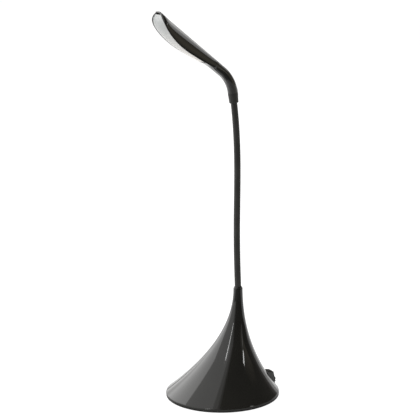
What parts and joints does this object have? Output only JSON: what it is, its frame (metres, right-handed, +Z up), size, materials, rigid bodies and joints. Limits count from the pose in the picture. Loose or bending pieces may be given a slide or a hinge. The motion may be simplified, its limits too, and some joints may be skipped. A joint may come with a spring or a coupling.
{
  "type": "gooseneck desk lamp",
  "caption": "LED desk lamp: trumpet-shaped weighted base with a rocker switch and a power inlet at the back, a slim bendable gooseneck and a petal-shaped head with a white diffuser.",
  "frame": {"origin": "middle of the round underside, on the surface that the lamp stands on", "axes": "+Z up, the head points to -Y, the switch and the power inlet are on the +Y side, and X = 0 is the plane of symmetry of the outer shape"},
  "size_m": [0.13, 0.1382, 0.4431],
  "materials": {
    "gloss_black": "high-gloss black moulded plastic",
    "satin_black": "satin black vinyl sleeve",
    "neck_steel": "wound steel neck tube",
    "plate_steel": "black painted steel plate",
    "cast_weight": "plain cast weight",
    "foam_rubber": "fine-grained non-slip sheet",
    "screw_steel": "zinc-plated steel",
    "brass": "turned brass",
    "circuit_board": "green solder mask",
    "component_black": "black components",
    "switch_black": "fine satin black plastic",
    "rocker_black": "polished black rocker",
    "contact_brass": "tinned brass contacts",
    "lead_red": "red vinyl insulation",
    "lead_black": "black vinyl insulation",
    "white_plastic": "white moulded liner",
    "board_aluminium": "white-coated aluminium board",
    "led_yellow": "phosphor-coated LED packages",
    "diffuser_white": "opal diffuser"
  },
  "bodies": {
    "base": {"base_shell": "gloss_black", "base_plate": "plate_steel", "ballast": "cast_weight", "non_slip_pad": "foam_rubber", "plate_screws": "screw_steel", "ballast_screws": "screw_steel", "neck_collar": "gloss_black", "neck_ferrule": "brass", "neck_washer": "screw_steel", "neck_nut": "screw_steel", "board_standoffs": "brass", "board_screws": "screw_steel", "driver_board": "circuit_board", "driver_inductor": "component_black", "driver_capacitors": "component_black", "driver_chips": "component_black", "switch_body": "switch_black", "switch_terminals": "contact_brass", "power_inlet": "switch_black", "inlet_contacts": "contact_brass", "inlet_nut": "screw_steel", "switch_leads": "lead_red", "inlet_leads": "lead_black", "lower_lamp_lead": "lead_black", "neck_core_01": "neck_steel", "neck_sleeve_01": "satin_black"},
    "rocker": {"switch_rocker": "rocker_black"},
    "neck_link_02": {"neck_core_02": "neck_steel", "neck_sleeve_02": "satin_black"},
    "neck_link_03": {"neck_core_03": "neck_steel", "neck_sleeve_03": "satin_black"},
    "neck_link_04": {"neck_core_04": "neck_steel", "neck_sleeve_04": "satin_black"},
    "neck_link_05": {"neck_core_05": "neck_steel", "neck_sleeve_05": "satin_black"},
    "neck_link_06": {"neck_core_06": "neck_steel", "neck_sleeve_06": "satin_black"},
    "neck_link_07": {"neck_core_07": "neck_steel", "neck_sleeve_07": "satin_black"},
    "neck_link_08": {"neck_core_08": "neck_steel", "neck_sleeve_08": "satin_black"},
    "neck_link_09": {"neck_core_09": "neck_steel", "neck_sleeve_09": "satin_black"},
    "neck_link_10": {"neck_core_10": "neck_steel", "neck_sleeve_10": "satin_black"},
    "neck_link_11": {"neck_core_11": "neck_steel", "neck_sleeve_11": "satin_black"},
    "neck_link_12": {"neck_core_12": "neck_steel", "neck_sleeve_12": "satin_black"},
    "head": {"head_shell": "gloss_black", "elbow_cover": "gloss_black", "head_ferrule": "satin_black", "ferrule_clip": "screw_steel", "reflector": "white_plastic", "led_board": "board_aluminium", "leds": "led_yellow", "led_board_screws": "screw_steel", "diffuser": "diffuser_white", "upper_lamp_lead": "lead_black"}
  },
  "joints": [
    {"name": "neck_nod_01", "type": "hinge", "parent": "base", "child": "neck_link_02", "pos_m": [0, 0.02079, 0.132], "axis": [1, 0, 0], "range_deg": [-16, 16]},
    {"name": "neck_sway_02", "type": "hinge", "parent": "neck_link_02", "child": "neck_link_03", "pos_m": [0, 0.02036, 0.15059], "axis": [0, 1, 0], "range_deg": [-16, 16]},
    {"name": "neck_nod_03", "type": "hinge", "parent": "neck_link_03", "child": "neck_link_04", "pos_m": [0, 0.02012, 0.16918], "axis": [1, 0, 0], "range_deg": [-16, 16]},
    {"name": "neck_sway_04", "type": "hinge", "parent": "neck_link_04", "child": "neck_link_05", "pos_m": [0, 0.02014, 0.18777], "axis": [0, 1, 0], "range_deg": [-16, 16]},
    {"name": "neck_nod_05", "type": "hinge", "parent": "neck_link_05", "child": "neck_link_06", "pos_m": [0, 0.02041, 0.20636], "axis": [1, 0, 0], "range_deg": [-16, 16]},
    {"name": "neck_sway_06", "type": "hinge", "parent": "neck_link_06", "child": "neck_link_07", "pos_m": [0, 0.02083, 0.22495], "axis": [0, 1, 0], "range_deg": [-16, 16]},
    {"name": "neck_nod_07", "type": "hinge", "parent": "neck_link_07", "child": "neck_link_08", "pos_m": [0, 0.02125, 0.24355], "axis": [1, 0, 0], "range_deg": [-16, 16]},
    {"name": "neck_sway_08", "type": "hinge", "parent": "neck_link_08", "child": "neck_link_09", "pos_m": [0, 0.0215, 0.26214], "axis": [0, 1, 0], "range_deg": [-16, 16]},
    {"name": "neck_nod_09", "type": "hinge", "parent": "neck_link_09", "child": "neck_link_10", "pos_m": [0, 0.02141, 0.28073], "axis": [1, 0, 0], "range_deg": [-16, 16]},
    {"name": "neck_sway_10", "type": "hinge", "parent": "neck_link_10", "child": "neck_link_11", "pos_m": [0, 0.02086, 0.29932], "axis": [0, 1, 0], "range_deg": [-16, 16]},
    {"name": "neck_nod_11", "type": "hinge", "parent": "neck_link_11", "child": "neck_link_12", "pos_m": [0, 0.01974, 0.31791], "axis": [1, 0, 0], "range_deg": [-16, 16]},
    {"name": "neck_sway_12", "type": "hinge", "parent": "neck_link_12", "child": "head", "pos_m": [0, 0.018, 0.3365], "axis": [0, 1, 0], "range_deg": [-16, 16]},
    {"name": "switch_rocker_tilt", "type": "hinge", "parent": "base", "child": "rocker", "pos_m": [0.0065, 0.05998, 0.01386], "axis": [1, 0, 0], "range_deg": [-16, 0]}
  ],
  "couplings": [
    {"joint": "neck_nod_03", "follows": "neck_nod_01", "ratio": 1},
    {"joint": "neck_sway_04", "follows": "neck_sway_02", "ratio": 1},
    {"joint": "neck_nod_05", "follows": "neck_nod_01", "ratio": 1},
    {"joint": "neck_sway_06", "follows": "neck_sway_02", "ratio": 1},
    {"joint": "neck_nod_09", "follows": "neck_nod_07", "ratio": 1},
    {"joint": "neck_sway_10", "follows": "neck_sway_08", "ratio": 1},
    {"joint": "neck_nod_11", "follows": "neck_nod_07", "ratio": 1},
    {"joint": "neck_sway_12", "follows": "neck_sway_08", "ratio": 1}
  ]
}
